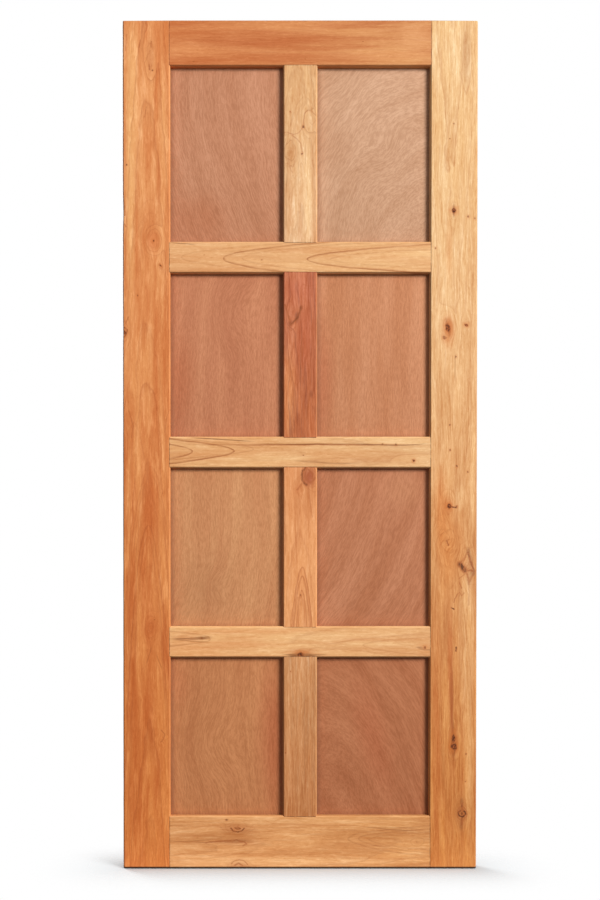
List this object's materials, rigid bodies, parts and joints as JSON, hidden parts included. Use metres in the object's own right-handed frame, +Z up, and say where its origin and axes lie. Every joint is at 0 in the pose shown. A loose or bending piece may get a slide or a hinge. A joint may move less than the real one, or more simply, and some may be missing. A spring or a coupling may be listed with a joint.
{
  "type": "panelled door leaf",
  "caption": "Solid timber front door leaf with stiles, rails and muntins around rows of paired flat recessed panels, clear finished and without hardware.",
  "frame": {"origin": "centre of the leaf's bottom edge, midway through its thickness and its width", "axes": "+Z up along the stiles, +X across the leaf towards the right stile as seen from the front, the front face looks along -Y"},
  "size_m": [0.85, 0.044, 2.032],
  "materials": {
    "orange_timber": "clear satin varnish over planed timber",
    "pale_timber": "clear satin varnish over planed timber",
    "salmon_timber": "clear satin varnish over planed timber",
    "tan_timber": "clear satin varnish over planed timber",
    "red_timber": "clear satin varnish over planed timber",
    "plywood": "thin clear coat, satin, rotary-cut face veneer",
    "wedge_timber": "clear satin varnish over planed timber"
  },
  "bodies": {
    "root": {"left_stile": "orange_timber", "right_stile": "pale_timber", "top_rail": "salmon_timber", "upper_cross_rail": "pale_timber", "middle_cross_rail": "pale_timber", "lower_cross_rail": "pale_timber", "bottom_rail": "tan_timber", "top_muntin": "pale_timber", "upper_muntin": "red_timber", "lower_muntin": "orange_timber", "bottom_muntin": "tan_timber", "top_left_panel": "plywood", "top_right_panel": "plywood", "upper_left_panel": "plywood", "upper_right_panel": "plywood", "lower_left_panel": "plywood", "lower_right_panel": "plywood", "bottom_left_panel": "plywood", "bottom_right_panel": "plywood", "top_rail_left_upper_wedge": "wedge_timber", "top_rail_left_lower_wedge": "wedge_timber", "top_rail_right_upper_wedge": "wedge_timber", "top_rail_right_lower_wedge": "wedge_timber", "upper_cross_rail_left_upper_wedge": "wedge_timber", "upper_cross_rail_left_lower_wedge": "wedge_timber", "upper_cross_rail_right_upper_wedge": "wedge_timber", "upper_cross_rail_right_lower_wedge": "wedge_timber", "middle_cross_rail_left_upper_wedge": "wedge_timber", "middle_cross_rail_left_lower_wedge": "wedge_timber", "middle_cross_rail_right_upper_wedge": "wedge_timber", "middle_cross_rail_right_lower_wedge": "wedge_timber", "lower_cross_rail_left_upper_wedge": "wedge_timber", "lower_cross_rail_left_lower_wedge": "wedge_timber", "lower_cross_rail_right_upper_wedge": "wedge_timber", "lower_cross_rail_right_lower_wedge": "wedge_timber", "bottom_rail_left_upper_wedge": "wedge_timber", "bottom_rail_left_lower_wedge": "wedge_timber", "bottom_rail_right_upper_wedge": "wedge_timber", "bottom_rail_right_lower_wedge": "wedge_timber"}
  },
  "joints": []
}
